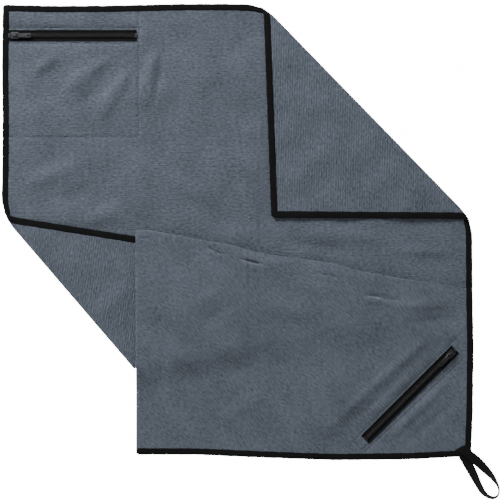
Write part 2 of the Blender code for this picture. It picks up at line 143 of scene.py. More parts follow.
# Soft ridges (height above zero) and grooves (below): start x, y, end x, y, height, half-width.
UPPER_CREASES = (
    (-0.2081, 0.1720, -0.1489, 0.2151, 0.0012, 0.0065),
    (-0.1950, 0.1560, -0.1360, 0.2030, -0.0009, 0.0060),
    (-0.1704, 0.1397, -0.1290, 0.2043, 0.0011, 0.0060),
    (-0.2405, 0.1936, -0.2081, 0.2151, 0.0009, 0.0055),
    (-0.2480, 0.1560, -0.2020, 0.1980, -0.0008, 0.0070),
    (-0.1187, 0.1558, -0.1025, 0.2291, 0.0010, 0.0050),
    (-0.1130, 0.1500, -0.0930, 0.2230, -0.0006, 0.0050),
    (-0.0950, 0.2259, -0.0250, 0.1774, 0.0006, 0.0080),
    (-0.0830, 0.1960, -0.0500, 0.1500, -0.0006, 0.0080),
    (-0.2513, 0.0696, -0.1758, 0.1020, 0.0007, 0.0080),
    (-0.2200, 0.0560, -0.1500, 0.0800, -0.0006, 0.0080),
    (-0.1112, 0.0912, -0.0250, 0.0427, 0.0006, 0.0090),
    (-0.0303, 0.0760, -0.0034, 0.0250, -0.0011, 0.0060),
    (-0.0180, 0.0820, 0.0080, 0.0300, 0.0007, 0.0060),
    (-0.1900, 0.0250, -0.1300, 0.0600, 0.0006, 0.0090),
    (0.0500, 0.0220, 0.1500, 0.0150, 0.0006, 0.0080),
    (0.1500, 0.0050, 0.2200, 0.0000, 0.0007, 0.0060),
    (0.0200, 0.0160, 0.1100, 0.0030, -0.0005, 0.0060),
)
LOWER_CREASES = (
    (-0.0487, 0.0082, -0.0308, 0.0000, -0.0012, 0.0018),
    (-0.0520, 0.0045, -0.0330, -0.0045, 0.0008, 0.0030),
    (-0.0088, -0.0058, 0.0106, -0.0106, -0.0012, 0.0018),
    (-0.0100, -0.0095, 0.0120, -0.0150, 0.0007, 0.0030),
    (0.1162, -0.0424, 0.1625, -0.0500, -0.0010, 0.0022),
    (0.1100, -0.0470, 0.1700, -0.0560, 0.0007, 0.0035),
    (0.1400, -0.0600, 0.2250, -0.0520, 0.0007, 0.0050),
    (0.1600, -0.0720, 0.2280, -0.0690, -0.0006, 0.0050),
    (-0.0700, -0.0600, -0.0300, -0.0350, 0.0007, 0.0070),
    (-0.0600, -0.0800, -0.0150, -0.0450, -0.0006, 0.0070),
    (0.0150, -0.1080, 0.0560, -0.1850, -0.0010, 0.0050),
    (0.0230, -0.1020, 0.0650, -0.1800, 0.0008, 0.0055),
    (0.0620, -0.1880, 0.1050, -0.1480, 0.0008, 0.0050),
    (-0.0400, -0.1850, 0.0200, -0.1450, 0.0006, 0.0080),
    (-0.0950, -0.0500, -0.1000, -0.1900, -0.0006, 0.0090),
    (0.0700, -0.1990, 0.2000, -0.0800, 0.0009, 0.0045),
    (0.0850, -0.2010, 0.1900, -0.0960, -0.0006, 0.0040),
    (0.1380, -0.2080, 0.2240, -0.1250, 0.0009, 0.0045),
    (0.1600, -0.2100, 0.2270, -0.1450, -0.0006, 0.0045),
    (-0.0100, -0.0500, 0.0700, -0.0700, 0.0006, 0.0100),
    (0.0300, -0.0300, 0.0900, -0.0420, 0.0006, 0.0060),
)
FLAP_CREASES = (
    (0.0600, 0.1900, 0.1300, 0.0900, 0.0006, 0.0100),
    (0.0300, 0.2000, 0.0500, 0.1100, 0.0005, 0.0090),
    (0.1300, 0.1100, 0.1900, 0.0500, 0.0006, 0.0080),
    (-0.2300, 0.0050, -0.1500, -0.0300, 0.0005, 0.0080),
    (-0.1700, -0.0700, -0.1300, -0.0300, 0.0006, 0.0080),
)
UPPER_DEPTH, LOWER_DEPTH, FLAP_DEPTH = 3.0, 2.1, 1.8  # what the heights in each table are multiplied by

# Sharp little folds that the pleat pulls in the lower half: start x, y, end x, y, height, half-width.
SHARP_FOLDS = (
    (-0.0495, 0.0088, -0.0400, 0.0035, -0.0013, 0.0011),
    (-0.0420, 0.0042, -0.0300, 0.0002, -0.0016, 0.0012),
    (-0.0170, -0.0030, -0.0040, -0.0075, -0.0010, 0.0011),
    (-0.0088, -0.0058, 0.0110, -0.0106, -0.0016, 0.0012),
    (0.0620, -0.0180, 0.1020, -0.0262, -0.0008, 0.0012),
    (0.1162, -0.0424, 0.1420, -0.0460, -0.0006, 0.0013),
    (0.1400, -0.0465, 0.1640, -0.0500, -0.0006, 0.0012),
    (-0.1230, 0.0170, -0.1080, 0.0190, -0.0010, 0.0012),
)

# Sewn seams, as start x, y, end x, y.
UPPER_SEAMS = (
    (-0.1236, 0.2625, -0.1236, 0.1268),
    (-0.2610, 0.1268, -0.1250, 0.1268),
    (-0.2640, 0.2277, -0.1250, 0.2277),
    (-0.2640, 0.2443, -0.1250, 0.2443),
)
LOWER_SEAMS = (
    (0.1141, -0.1943, 0.2265, -0.0825),
    (0.1174, -0.2105, 0.2233, -0.1103),
    (0.1200, -0.2125, 0.2250, -0.1130),
    (0.1090, -0.2010, 0.1141, -0.1943),
    (0.1090, -0.2010, 0.1174, -0.2105),
)
SEAM_DEPTH = 0.00055
SEAM_HALF_WIDTH = 0.0015
SEAM_CUTS = (-0.0030, -0.0014, 0.0, 0.0014, 0.0030)  # cuts beside a seam
PUCKER = 0.00012  # height of the small puckers beside a seam
STITCH_PITCH = 0.0031
STITCH_LENGTH = 0.0023
STITCH_THICK = 0.00045

# The loop's middle line: x, y, height, and its turn on edge from 0, flat, to 1, upright.
LOOP_LINE = (
    (0.2215, -0.2080, 0.0040, 0.0),
    (0.2240, -0.2125, 0.0038, 0.0),
    (0.2270, -0.2180, 0.0030, 0.0),
    (0.2310, -0.2250, 0.0022, 0.02),
    (0.2352, -0.2325, 0.0028, 0.18),
    (0.2388, -0.2400, 0.0040, 0.40),
    (0.2428, -0.2480, 0.0048, 0.54),
    (0.2468, -0.2552, 0.0053, 0.62),
    (0.2523, -0.2602, 0.0056, 0.74),
    (0.2592, -0.2622, 0.0058, 0.76),
    (0.2638, -0.2590, 0.0059, 0.84),
    (0.2648, -0.2530, 0.0059, 0.88),
    (0.2628, -0.2470, 0.0057, 0.82),
    (0.2567, -0.2380, 0.0052, 0.60),
    (0.2490, -0.2300, 0.0046, 0.32),
    (0.2430, -0.2240, 0.0040, 0.08),
    (0.2365, -0.2185, 0.0042, 0.0),
    (0.2300, -0.2135, 0.0052, 0.0),
    (0.2240, -0.2085, 0.0054, 0.0),
)
WEBBING_WIDTH = 0.0100
WEBBING_THICK = 0.0011

# Zips.
ZIP_WINDOW = 0.0112
ZIP_TAPES = 0.0106  # width over both tapes
COIL_PITCH = 0.00125
COIL_WIRE = 0.00034
COIL_REACH = 0.00105  # half the width of one row of coil
COIL_RISE = 0.00048  # half its height
COIL_LEAN = 0.00016
COIL_MIDDLE = (0.00102, 0.00248)  # from the zip's middle line, and up
COIL_END = 0.0028  # from the coil's end to the tape's end
ZIP_TAPE_INNER = 0.00085
ZIP_TAPE_WIDTH = 0.0050
ZIP_TAPE_TOP = 0.00175
ZIP_TAPE_THICK = 0.00045

# Tones.
CLOTH_DARK = (0.038, 0.046, 0.060)
CLOTH_PALE = (0.124, 0.144, 0.178)
LOOP_SIZE = 0.0011  # size of the pile's loops
PILE_DEPTH = 0.0006
BLACK = (0.0018, 0.0019, 0.0020)
WHITE = (1.0, 1.0, 1.0, 1.0)

FLOOR_REACH = 4.0
FLOOR_LEVEL = -0.0004
VIEW_MIDDLE = (-0.0034, 0.0050)
VIEW_WIDTH = 0.5388
VIEW_HEIGHT = 3.2


# ---------------------------------------------------------------- shapes


def eased(share):
    """Goes from 0 to 1 with level ends: three times the square less twice the cube."""
    share = np.clip(share, 0.0, 1.0)
    return share * share * (3 - 2 * share)


def along_line(line, x):
    """A height read off a line of points at each x, rounded at the corners by averaging over 12 mm."""
    xs, ys = np.array(line).T[:2]
    order = np.argsort(xs)
    reach = np.linspace(-0.006, 0.006, 5)
    samples = [np.interp(x + step, xs[order], ys[order]) for step in reach]
    return np.mean(samples, axis=0)


def ripples(x, y, seed, height, shortest, longest, count=14):
    """Gentle waves: the sum of sine waves of random direction, length and phase, from a fixed seed."""
    chance = np.random.default_rng(seed)
    lengths = shortest * (longest / shortest) ** chance.random(count)
    turns = 2 * math.pi * chance.random(count)
    starts = 2 * math.pi * chance.random(count)
    total = np.zeros_like(x)
    for length, turn, start in zip(lengths, turns, starts):
        phase = (x * math.cos(turn) + y * math.sin(turn)) * 2 * math.pi / length
        total += np.sin(phase + start) * length / longest
    return total * height / math.sqrt(count / 4)


def bell(distance, width):
    """One at the middle, falling to nothing on both sides: e to the minus square of the distance over the width."""
    return np.exp(-((distance / width) ** 2))


def beside_line(x, y, x1, y1, x2, y2):
    """A line's length, and how far each point lies along it from its start and across it to its left."""
    length = math.hypot(x2 - x1, y2 - y1)
    ax, ay = (x2 - x1) / length, (y2 - y1) / length
    return length, (x - x1) * ax + (y - y1) * ay, (y - y1) * ax - (x - x1) * ay


def creases(x, y, table):
    """Ridges and grooves: across each line a bell curve, along it a rise and fall to nothing at both ends."""
    total = np.zeros_like(x)
    for *line, height, width in table:
        length, along, across = beside_line(x, y, *line)
        along = along / length
        # The line bows a little, so that it doesn't look ruled.
        across = across - 0.06 * length * along * (1 - along) * math.copysign(1.0, height)
        taper = eased(along / 0.35) * eased((1 - along) / 0.35)
        total += height * taper * bell(across, width)
    return total


def seam_dip(x, y, seams):
    """The groove that a sewn line draws in the cloth: a narrow bell curve along each seam, with small puckers, which
    are sine waves of uneven length. Where two seams meet, the deeper groove holds."""
    groove = np.zeros_like(x)
    puckers = np.zeros_like(x)
    for seam in seams:
        length, along, across = beside_line(x, y, *seam)
        inside = eased((along + 0.003) / 0.004) * eased((length + 0.003 - along) / 0.004)
        groove = np.minimum(groove, -SEAM_DEPTH * inside * bell(across, SEAM_HALF_WIDTH))
        wave = np.sin(along * 2 * math.pi / 0.013 + 9 * np.sin(along * 47))
        puckers += PUCKER * inside * wave * bell(across, 0.0065)
    return groove + puckers


def unit(vectors):
    """Vectors scaled to length one."""
    return vectors / np.linalg.norm(vectors, axis=-1, keepdims=True)


# ---------------------------------------------------------------- the cloth's places


class Fold:
    """A fold line with its outward side, and the roll that carries cloth over it."""

    def __init__(self, line, outward):
        self.start = np.array(line[0])
        along = unit(np.array(line[1]) - self.start)
        self.normal = np.array((along[1], -along[0]))
        if self.normal @ np.array(outward) < 0:
            self.normal = -self.normal

    def beyond(self, x, y):
        """How far a point lies outside the fold line, with the roll's start as zero."""
        return (x - self.start[0]) * self.normal[0] + (y - self.start[1]) * self.normal[1] + FLAP_ROLL

    def flat_place(self, point):
        """Where a point of the turned flap lies when the flap is opened out flat."""
        point = np.array(point)
        distance = (point - self.start) @ self.normal
        return point + (-2 * distance + (math.pi - 2) * FLAP_ROLL) * self.normal

    def carry(self, x, y, z, wrinkle):
        """Rolls cloth over the line: round a half circle, then back over itself, sinking a little as it goes."""
        beyond = self.beyond(x, y)
        radius = FLAP_ROLL
        angle = np.clip(beyond / radius, 0.0, math.pi)
        back = np.clip(beyond - math.pi * radius, 0.0, None)
        level = np.minimum(beyond, 0.0) + radius * np.sin(angle) - back
        sink = SETTLE * (1 - bell(back, SETTLE_RUN))
        lift = radius * (1 - np.cos(angle)) - sink
        turned = back > 0
        shift = level - beyond
        x_new = x + shift * self.normal[0]
        y_new = y + shift * self.normal[1]
        z_new = z + lift + np.where(turned, wrinkle(x_new, y_new) * eased(back / 0.012), 0.0)
        return x_new, y_new, z_new


class Cloth:
    """The towel's cloth: where every point of the flat sheet lies when it is folded."""

    def __init__(self):
        low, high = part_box("towel_cloth")
        self.left, self.right = low.x, high.x
        self.top, self.bottom = high.y, low.y
        self.flap_fold = Fold(FLAP_FOLD, (1.0, 1.0))
        self.side_fold = Fold(SIDE_FOLD, (-1.0, -1.0))
        self.flap_corner = self.flap_fold.flat_place(FLAP_CORNER)
        self.side_tip = self.side_fold.flat_place(SIDE_TIP)
        self.side_foot = self.side_fold.flat_place(SIDE_FOOT)

    def share(self, x):
        """How far across the towel a column is, from 0 at the left to 1 at the right."""
        return (x - self.left) / (self.right - self.left)

    def column(self, x, y):
        """Where a column runs at each height: its edges wander, and the columns between follow them."""
        share = self.share(x)
        flap_end = FLAP_FOLD[1][1]
        upward = (y - flap_end) / (self.flap_corner[1] - flap_end)
        right = np.where(
            y > flap_end,
            upward * (self.flap_corner[0] - self.right),
            along_line(RIGHT_WANDER, y),
        )
        side_start = SIDE_FOLD[0][1]
        downward = (side_start - y) / (side_start - self.side_tip[1])
        left = np.where(
            y < side_start,
            downward * (self.side_tip[0] - self.left),
            along_line(LEFT_WANDER, y),
        )
        return x + share**3 * right + (1 - share) ** 3 * left

    def top_edge(self, x):
        """The sheet's top edge: level, then down to the flap's corner where it is turned."""
        fold_x = FLAP_FOLD[0][0]
        down = (x - fold_x) / (self.right - fold_x)
        sloped = self.top + down * (self.flap_corner[1] - self.top)
        return np.where(x > fold_x, sloped, self.top + along_line(TOP_WANDER, x))

    def gather(self, x):
        """How deep the pleat is, from 0 at the right edge to 1."""
        return eased((self.right - x) / PLEAT_FADE)

    def pleat_y(self, x):
        """The pleat's upper fold, which shows."""
        return along_line(PLEAT_FOLD, x)

    def foot_y(self, x):
        """The pleat's lower turn, under the lower half."""
        xs, ys = zip(*PLEAT_FOOT)
        foot = np.interp(x, xs, ys)
        return self.pleat_y(x) + self.gather(x) * (foot - self.pleat_y(x))

    def low_edge(self, x):
        """Where the upper sheet ends: at the pleat's lower turn, and further down on the side flap."""
        xs = (self.left, self.side_foot[0], FRONT_LEFT)
        ys = (self.side_tip[1], self.side_foot[1], self.foot_y(np.array([FRONT_LEFT]))[0])
        return np.where(x < FRONT_LEFT, np.interp(x, xs, ys), self.foot_y(x))

    def calm(self, x, y):
        """One in the open cloth, falling to zero over the zips, where the cloth lies level."""
        quiet = np.ones_like(x)
        for centre, turn, length in zip_places():
            along = (x - centre[0]) * math.cos(turn) + (y - centre[1]) * math.sin(turn)
            across = (y - centre[1]) * math.cos(turn) - (x - centre[0]) * math.sin(turn)
            beyond_end = np.clip(np.abs(along) - length / 2, 0.0, None)
            beyond_side = np.clip(np.abs(across) - 0.0056, 0.0, None)
            distance = np.hypot(beyond_end, beyond_side)
            quiet = quiet * eased(distance / 0.011)
        return quiet

    def base_z(self, x, y):
        """The upper half's height where it lies on the table. Along the pleat's line it is pressed down by a bell
        curve."""
        relief = ripples(x, y, 3, 0.0010, 0.030, 0.150) + UPPER_DEPTH * creases(x, y, UPPER_CREASES)
        relief = np.clip(LOFT + relief, 0.0, RELIEF_TOP) * eased((y - self.pleat_y(x)) / 0.014)
        pressed = 2 * BASE_SINK * eased((x - FRONT_LEFT) / 0.03) * bell(y - self.pleat_y(x), 0.0036)
        height = BASE_MID + self.calm(x, y) * relief - pressed + seam_dip(x, y, UPPER_SEAMS)
        return np.maximum(height, LOWEST_MID)

    def upper(self, x, y):
        """A point of the upper sheet, folded, given by its column and its place down the sheet."""
        return self.folded(self.column(x, y), y)

    def folded(self, x, y):
        """A point of the flat upper sheet with the corner flap and the side flap carried over, and the corners that
        the folds make drawn in a little, by a bell curve round each. The relief fades out towards the folds."""
        within = np.minimum(-self.flap_fold.beyond(x, y), -self.side_fold.beyond(x, y))
        z = BASE_MID + (self.base_z(x, y) - BASE_MID) * eased(within / 0.010)
        z = np.maximum(z, BASE_MID - BASE_SINK)

        def flap_wrinkle(px, py):
            relief = 0.0009 + ripples(px, py, 8, 0.0008, 0.030, 0.110) + FLAP_DEPTH * creases(px, py, FLAP_CREASES)
            # Under the lower half the side flap is pressed flat.
            covered = eased((px - FRONT_LEFT + 0.014) / 0.014) * eased((self.pleat_y(px) + 0.012 - py) / 0.010)
            return np.clip(relief, 0.0, 0.0030) * (1 - covered)

        x, y, z = self.flap_fold.carry(x, y, z, flap_wrinkle)
        x, y, z = self.side_fold.carry(x, y, z, flap_wrinkle)
        for corner_x, corner_y, in_x, in_y in SOFT_CORNERS:
            near = np.exp(-((x - corner_x) ** 2 + (y - corner_y) ** 2) / CORNER_REACH**2)
            x, y = x + in_x * near, y + in_y * near
        return np.stack((x, y, z), axis=-1)

    def return_z(self, x):
        """The hidden layer's height: above the side flap at the left, lower where there is none, level at the end."""
        over_flap = eased((0.010 - x) / 0.040)
        lifted = RETURN_LOW + over_flap * (RETURN_MID - RETURN_LOW)
        return BASE_MID + self.gather(x) * (lifted - BASE_MID)

    def fold_z(self, x):
        """The lower half's height at the pleat's fold."""
        return self.return_z(x) + self.gather(x) * LAYER_STEP

    def front_z(self, x, y):
        """The lower half's height: over the pleat, then down a soft slope to the table, with its creases."""
        turn = (self.return_z(x) - BASE_MID) / 2
        foot = self.foot_y(x) - turn - SLOPE_RUN
        over = eased((y - foot) / SLOPE_RUN)
        flat = BASE_MID + over * (self.fold_z(x) - BASE_MID)
        relief = ripples(x, y, 21, 0.0011, 0.030, 0.140) + LOWER_DEPTH * creases(x, y, LOWER_CREASES)
        relief = np.clip(LOFT + relief, 0.0, RELIEF_TOP)
        away = eased((self.pleat_y(x) - y) / 0.006)
        rolled = EDGE_ROLL * 1.6 * (1 - eased((x - FRONT_LEFT) / 0.016)) * (1 - over)
        return flat + self.calm(x, y) * away * relief + rolled

    def sewn_front_z(self, x, y):
        """The lower half's height with the grooves of its seams."""
        return self.front_z(x, y) + seam_dip(x, y, LOWER_SEAMS)

    def front(self, x, y):
        """A point of the lower half."""
        return np.stack((self.column(x, y), y, self.front_z(x, y)), axis=-1)

    def bottom_edge(self, x):
        """The lower half's bottom edge."""
        return along_line(BOTTOM_EDGE, x)


def zip_places():
    """Each zip's centre, turn and length on the plan, from its tapes' boxes."""
    places = []
    for prefix, turn in (("main", 0.0), ("corner", math.radians(45))):
        corners = [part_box(f"{prefix}_zip_{side}_tape") for side in ("upper", "lower")]
        low = np.minimum(*[np.array(c[0]) for c in corners])
        high = np.maximum(*[np.array(c[1]) for c in corners])
        size = high - low
        length = size[0] if turn == 0.0 else size[0] * math.sqrt(2) - ZIP_TAPES
        places.append((((low + high) / 2)[:2], turn, length))
    return places


# ---------------------------------------------------------------- meshes


def grid_quads(rows, columns, closed=False):
    """The four corners of each face of a grid, as row and column numbers. A closed grid joins its last column to
    its first, and its column numbers run one past the end there."""
    last = columns if closed else columns - 1
    row, column = np.meshgrid(np.arange(rows - 1), np.arange(last), indexing="ij")
    row, column = row.ravel(), column.ravel()
    corner_rows = np.stack((row, row + 1, row + 1, row), axis=1)
    corner_columns = np.stack((column, column, column + 1, column + 1), axis=1)
    return corner_rows, corner_columns


def surface(name, points, uv, closed=False, capped=False):
    """A mesh from a grid of points, rows by columns. uv has one column more than points on a closed grid. Capped
    closes the first and last rows, as at the ends of a tape."""
    rows, columns = points.shape[:2]
    corner_rows, corner_columns = grid_quads(rows, columns, closed)
    faces = (corner_rows * columns + corner_columns % columns).tolist()
    if capped:
        faces.append(list(range(columns)))
        faces.append(list(range((rows - 1) * columns, rows * columns))[::-1])
    mesh = bpy.data.meshes.new(name)
    mesh.from_pydata(points.reshape(-1, 3).tolist(), [], faces)
    layer = mesh.uv_layers.new(name="UVMap")
    flat = np.zeros((len(mesh.loops), 2))
    quads = uv[corner_rows, corner_columns].reshape(-1, 2)
    flat[: len(quads)] = quads
    layer.data.foreach_set("uv", flat.ravel())
    return mesh


@contextmanager
def opened(mesh):
    """A mesh's editable copy, written back to the mesh when the work on it is done."""
    work = bmesh.new()
    work.from_mesh(mesh)
    yield work
    work.to_mesh(mesh)
    work.free()


def outward(mesh):
    """Points every face of a closed mesh outwards."""
    with opened(mesh) as work:
        bmesh.ops.recalc_face_normals(work, faces=work.faces)
    return mesh


def points_of(mesh):
    """A mesh's points, as an array of rows."""
    points = np.empty(len(mesh.vertices) * 3)
    mesh.vertices.foreach_get("co", points)
    return points.reshape(-1, 3)


def new_object(name, data):
    """A named object in the scene."""
    obj = bpy.data.objects.new(name, data)
    bpy.context.scene.collection.objects.link(obj)
    return obj


def piece(name, mesh, materials, body):
    """A named object for a mesh, riding on a body and taking its finish from a material slot."""
    obj = new_object(name, mesh)
    for material in materials:
        mesh.materials.append(material)
    mesh.shade_smooth()
    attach(obj, body)
    return obj


def lengths_along(path):
    """The distance travelled at each point of a path."""
    steps = np.linalg.norm(np.diff(path, axis=0), axis=1)
    return np.concatenate(([0.0], np.cumsum(steps)))


def flat_oval(width, thick, sides=16, squareness=0.45):
    """A tape's section: an oval squared towards a rectangle, as points across and up."""
    angle = np.arange(sides) * 2 * math.pi / sides
    across = np.sign(np.cos(angle)) * np.abs(np.cos(angle)) ** squareness
    up = np.sign(np.sin(angle)) * np.abs(np.sin(angle)) ** (squareness * 1.3)
    return np.stack((across * width / 2, up * thick / 2), axis=1)


def band(name, points, distance, section):
    """A closed band from rings of points. Its uv runs along it by the distance in metres, then round its section."""
    girth = lengths_along(np.vstack((section, section[:1])))
    uv = np.stack(np.meshgrid(distance, girth, indexing="ij"), axis=-1)
    return outward(surface(name, points, uv, closed=True, capped=True))


def swept(name, path, side, section):
    """A section carried along a path. side points across the section at each step."""
    tangent = unit(np.gradient(path, axis=0))
    side = unit(side - (side * tangent).sum(axis=1, keepdims=True) * tangent)
    up = np.cross(tangent, side)
    points = path[:, None] + section[None, :, 0:1] * side[:, None] + section[None, :, 1:2] * up[:, None]
    return band(name, points, lengths_along(path), section)


# ---------------------------------------------------------------- the cloth


def cut_line(work, faces, point, normal):
    """Cuts the faces along an upright plane."""
    chosen = set(faces)
    edges = {edge for face in chosen for edge in face.edges}
    verts = {vert for face in chosen for vert in face.verts}
    bmesh.ops.bisect_plane(
        work,
        geom=list(chosen) + list(edges) + list(verts),
        plane_co=(*point, 0.0),
        plane_no=(*normal, 0.0),
        dist=0.00002,
    )


def cut_folds(mesh, fold):
    """Cuts flat cloth along lines beside a fold, so that its roll turns smoothly."""
    with opened(mesh) as work:
        for step in range(FOLD_CUTS + 1):
            beyond = step / FOLD_CUTS * math.pi * FLAP_ROLL - FLAP_ROLL
            cut_line(work, work.faces, fold.start + fold.normal * beyond, fold.normal)


def cut_seams(mesh, seams):
    """Cuts cloth along and beside each seam, so that its groove is drawn finely."""
    with opened(mesh) as work:
        for x1, y1, x2, y2 in seams:
            start, end = np.array((x1, y1)), np.array((x2, y2))
            length = np.linalg.norm(end - start)
            along = (end - start) / length
            across = np.array((-along[1], along[0]))
            for beside in SEAM_CUTS:
                chosen = []
                for face in work.faces:
                    offset = np.array(face.calc_center_median().xy) - start
                    if abs(offset @ across) < 0.0055 and -0.004 < offset @ along < length + 0.004:
                        chosen.append(face)
                cut_line(work, chosen, start + across * beside, across)


def cut_window(mesh, place):
    """Cuts a zip's window out of the cloth: its four sides, then the faces inside."""
    centre, turn, length = place
    along = np.array((math.cos(turn), math.sin(turn)))
    across = np.array((-along[1], along[0]))
    half_length, half_width = length / 2, ZIP_WINDOW / 2

    def near(face, margin):
        offset = np.array(face.calc_center_median().xy) - centre
        return abs(offset @ along) < half_length + margin and abs(offset @ across) < half_width + margin

    with opened(mesh) as work:
        for normal, distance in (
            (along, half_length),
            (-along, half_length),
            (across, half_width),
            (-across, half_width),
        ):
            faces = [face for face in work.faces if near(face, 3 * GRID)]
            cut_line(work, faces, centre + normal * distance, normal)
        inside = [face for face in work.faces if near(face, 0.0)]
        bmesh.ops.delete(work, geom=inside, context="FACES")


def columns_from(start, end):
    """Evenly spaced columns between two places, about a grid step apart."""
    return np.linspace(start, end, int(round((end - start) / GRID)) + 1)


def make_upper(cloth, places):
    """The upper half with both flaps. A flat grid runs from the top edge to the pleat's lower turn; it is cut beside
    the folds and round the main zip, and then folded."""
    left = columns_from(cloth.left, FRONT_LEFT)[:-1]
    x = np.concatenate((left, columns_from(FRONT_LEFT, cloth.right)))
    tall = cloth.top_edge(x).max() - cloth.low_edge(x).min()
    share = np.linspace(0.0, 1.0, int(round(tall * 0.88 / GRID)) + 1)
    share, x = np.meshgrid(share, x, indexing="ij")
    top, low = cloth.top_edge(x), cloth.low_edge(x)
    y = top + share * (low - top)
    flat = np.stack((cloth.column(x, y), y, np.zeros_like(x)), axis=-1)
    mesh = surface("towel_upper", flat, flat[:, :, :2])
    cut_folds(mesh, cloth.flap_fold)
    cut_folds(mesh, cloth.side_fold)
    cut_seams(mesh, UPPER_SEAMS)
    cut_window(mesh, places[0])
    points = points_of(mesh)
    mesh.vertices.foreach_set("co", cloth.folded(points[:, 0], points[:, 1]).ravel())
    return mesh


def pleat_rows(cloth, x):
    """The lower sheet's rows: round the pleat's lower turn, up its hidden layer, over its upper fold, and down the
    lower half to the bottom edge. Returns heights up the plan, heights off the table and how far the left edge is
    rolled in each row."""
    foot, fold = cloth.foot_y(x), cloth.pleat_y(x)
    start = cloth.upper(x, foot)[:, 2]
    return_z, fold_z = cloth.return_z(x), cloth.fold_z(x)
    hidden_roll = 0.15
    rows = []
    for angle in np.linspace(0.0, math.pi, 8):
        radius = (return_z - start) / 2
        rows.append((foot - radius * math.sin(angle), start + radius * (1 - math.cos(angle)), hidden_roll))
    for share in np.linspace(0.0, 1.0, 14)[1:-1]:
        rows.append((foot + share * (fold - foot), return_z, hidden_roll))
    for angle in np.linspace(0.0, math.pi, 9):
        radius = (fold_z - return_z) / 2
        roll = hidden_roll + (1 - hidden_roll) * angle / math.pi
        rows.append((fold + radius * math.sin(angle), return_z + radius * (1 - math.cos(angle)), roll))
    end = cloth.bottom_edge(x)
    count = int(round((fold - end).max() / GRID)) + 1
    for share in np.linspace(0.0, 1.0, count)[1:]:
        y = fold + share * (end - fold)
        rows.append((y, cloth.front_z(x, y), 1.0))
    return rows


def make_lower(cloth, places):
    """The lower half with its pleat, as a grid of rows. Its left edge is rolled under: further columns go round a
    half circle below the first, and the uv runs down the cloth's own length."""
    x = columns_from(FRONT_LEFT, cloth.right)
    rows = pleat_rows(cloth, x)
    y = np.array([row[0] for row in rows])
    z = np.array([row[1] for row in rows])
    rolled = np.array([row[2] for row in rows])[:, None]
    plan_x = cloth.column(x[None, :], y)
    turned = 7  # columns under the left edge
    angle = np.linspace(math.pi, 0.0, turned)[None, :-1]
    radius = EDGE_ROLL * rolled
    tuck_x = plan_x[:, :1] - radius * np.sin(angle)
    tuck_z = z[:, :1] - radius * (1 - np.cos(angle))
    tail_x = plan_x[:, :1] + 0.004 * rolled
    grid_x = np.concatenate((tail_x, tuck_x, plan_x), axis=1)
    grid_z = np.concatenate((tuck_z[:, :1], tuck_z, z), axis=1)
    grid_y = np.concatenate((np.repeat(y[:, :1], turned, axis=1), y), axis=1)
    points = np.stack((grid_x, grid_y, grid_z), axis=-1)
    steps = np.hypot(np.diff(y, axis=0), np.diff(z, axis=0))
    flat_y = y[:1] - np.concatenate((np.zeros((1, y.shape[1])), np.cumsum(steps, axis=0)))
    edge_x = FRONT_LEFT - 0.0005 * np.arange(turned, 0, -1)
    uv_x = np.broadcast_to(np.concatenate((edge_x, x)), grid_x.shape)
    uv_y = np.concatenate((np.repeat(flat_y[:, :1], turned, axis=1), flat_y), axis=1)
    mesh = surface("towel_lower", points, np.stack((uv_x, uv_y), axis=-1))
    cut_seams(mesh, LOWER_SEAMS)
    cut_seams(mesh, [fold[:4] for fold in SHARP_FOLDS])
    cut_window(mesh, places[1])
    points = points_of(mesh)
    plan = points[:, 0], points[:, 1]
    points[:, 2] += seam_dip(*plan, LOWER_SEAMS) + creases(*plan, SHARP_FOLDS)
    mesh.vertices.foreach_set("co", points.ravel())
    return mesh


def make_towel(cloth, places, materials):
    """The towel's one sheet: the two halves joined at the pleat's lower turn, given the cloth's thickness."""
    work = bmesh.new()
    for part in (make_upper(cloth, places), make_lower(cloth, places)):
        work.from_mesh(part)
        bpy.data.meshes.remove(part)
    bmesh.ops.remove_doubles(work, verts=work.verts, dist=0.00001)
    mesh = bpy.data.meshes.new("towel_sheet")
    work.to_mesh(mesh)
    work.free()
    towel = piece("towel_sheet", mesh, materials, "towel")
    wall = towel.modifiers.new("thickness", "SOLIDIFY")
    wall.thickness = CLOTH
    wall.offset = 0.0
    wall.material_offset = 1
    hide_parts("towel_cloth")
    return towel


# ---------------------------------------------------------------- edge tape


def tape_run(name, place, span, material, replaced):
    """A run of edge tape, a flat oval that wraps the cloth's edge. place gives the cloth's middle at a distance down
    the edge and an inset from it. Each point of the section is found there and raised off the cloth along its
    normal, so that the tape bends with the cloth. It is a little fuller at its sewn ends."""
    middle = TAPE_WIDTH / 2 - TAPE_PROUD
    down = np.linspace(*span, 900)
    distance = lengths_along(place(down, np.full_like(down, middle)))
    even = np.linspace(0.0, distance[-1], int(distance[-1] / 0.0020) + 1)
    down = np.interp(even, distance, down)
    from_end = np.minimum(even, even[-1] - even)
    closing = np.sqrt(np.clip(from_end / 0.0022, 0.0, 1.0))
    fuller = 1 + 0.10 * bell(from_end - 0.0045, 0.0030)
    wander = 1 + 0.035 * np.sin(even * 2 * math.pi / 0.023) + 0.025 * np.sin(even * 2 * math.pi / 0.0091)
    section = flat_oval(TAPE_WIDTH, TAPE_THICK)
    inset = middle + section[None, :, 0] * (wander * (0.55 + 0.45 * closing))[:, None]
    rise = section[None, :, 1] * (fuller * (0.35 + 0.65 * closing))[:, None]
    down = np.repeat(down[:, None], section.shape[0], axis=1)
    step = 0.0003
    points = place(down, inset)
    along = place(down + step, inset) - place(down - step, inset)
    across = place(down, inset + step) - place(down, inset - step)
    points = points + unit(np.cross(along, across)) * rise[:, :, None]
    tape = piece(name, band(name, points, even, section), [material], "towel")
    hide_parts(*replaced)
    return tape


